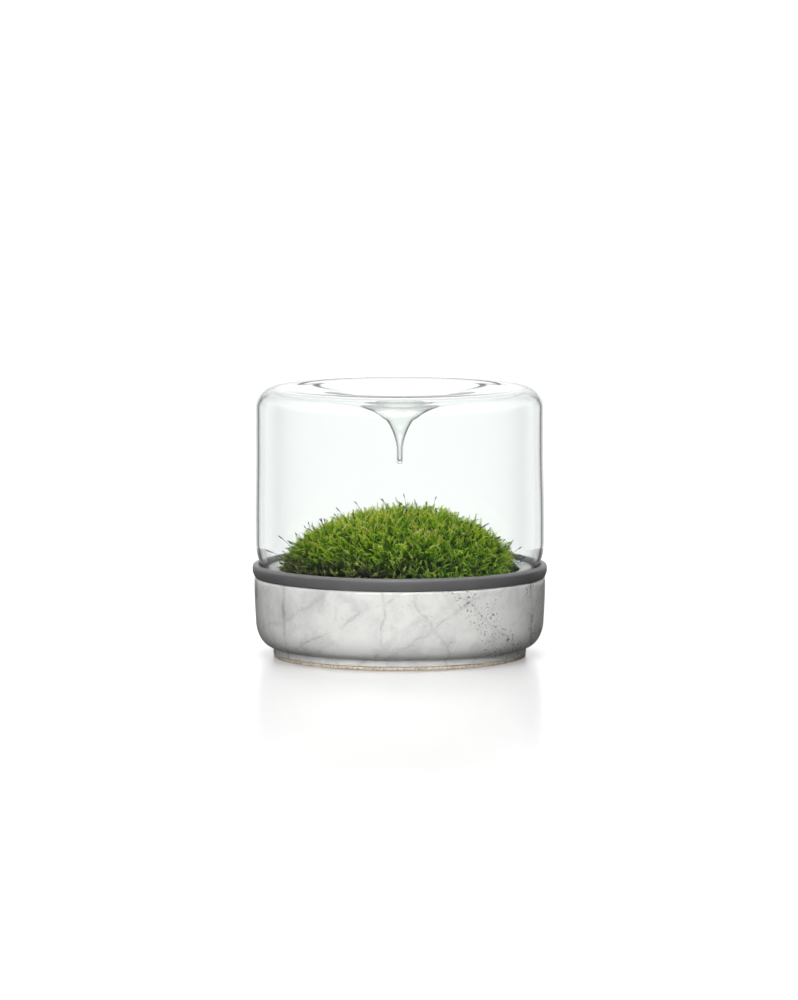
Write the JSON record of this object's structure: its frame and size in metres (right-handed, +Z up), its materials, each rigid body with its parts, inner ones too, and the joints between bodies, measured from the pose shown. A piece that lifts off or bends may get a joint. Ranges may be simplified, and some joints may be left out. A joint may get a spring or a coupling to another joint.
{
  "type": "glass plant terrarium",
  "caption": "Round marble bowl with a seal ring and a blown glass dome whose crown dips into a long drip funnel over a mound of moss.",
  "frame": {"origin": "centre of the foot pad's underside, on the surface that the bowl stands on", "axes": "+Z up along the axis of the bowl and the dome, -Y to the front"},
  "size_m": [0.25, 0.25, 0.2286],
  "materials": {
    "cork": "matte",
    "marble": "polished",
    "silicone": "matte",
    "glass": "gloss",
    "gravel": "matte",
    "soil": "matte",
    "moss_bright": "matte",
    "moss_deep": "matte",
    "moss_old": "matte"
  },
  "bodies": {
    "root": {"foot_pad": "cork", "marble_base": "marble", "seal_ring": "silicone", "glass_dome": "glass", "drainage_gravel": "gravel", "soil": "soil", "moss_crest": "moss_bright", "moss_left": "moss_bright", "moss_front_left": "moss_old", "moss_front_right": "moss_deep", "moss_right": "moss_bright", "moss_back_right": "moss_deep", "moss_back_left": "moss_bright"}
  },
  "joints": []
}
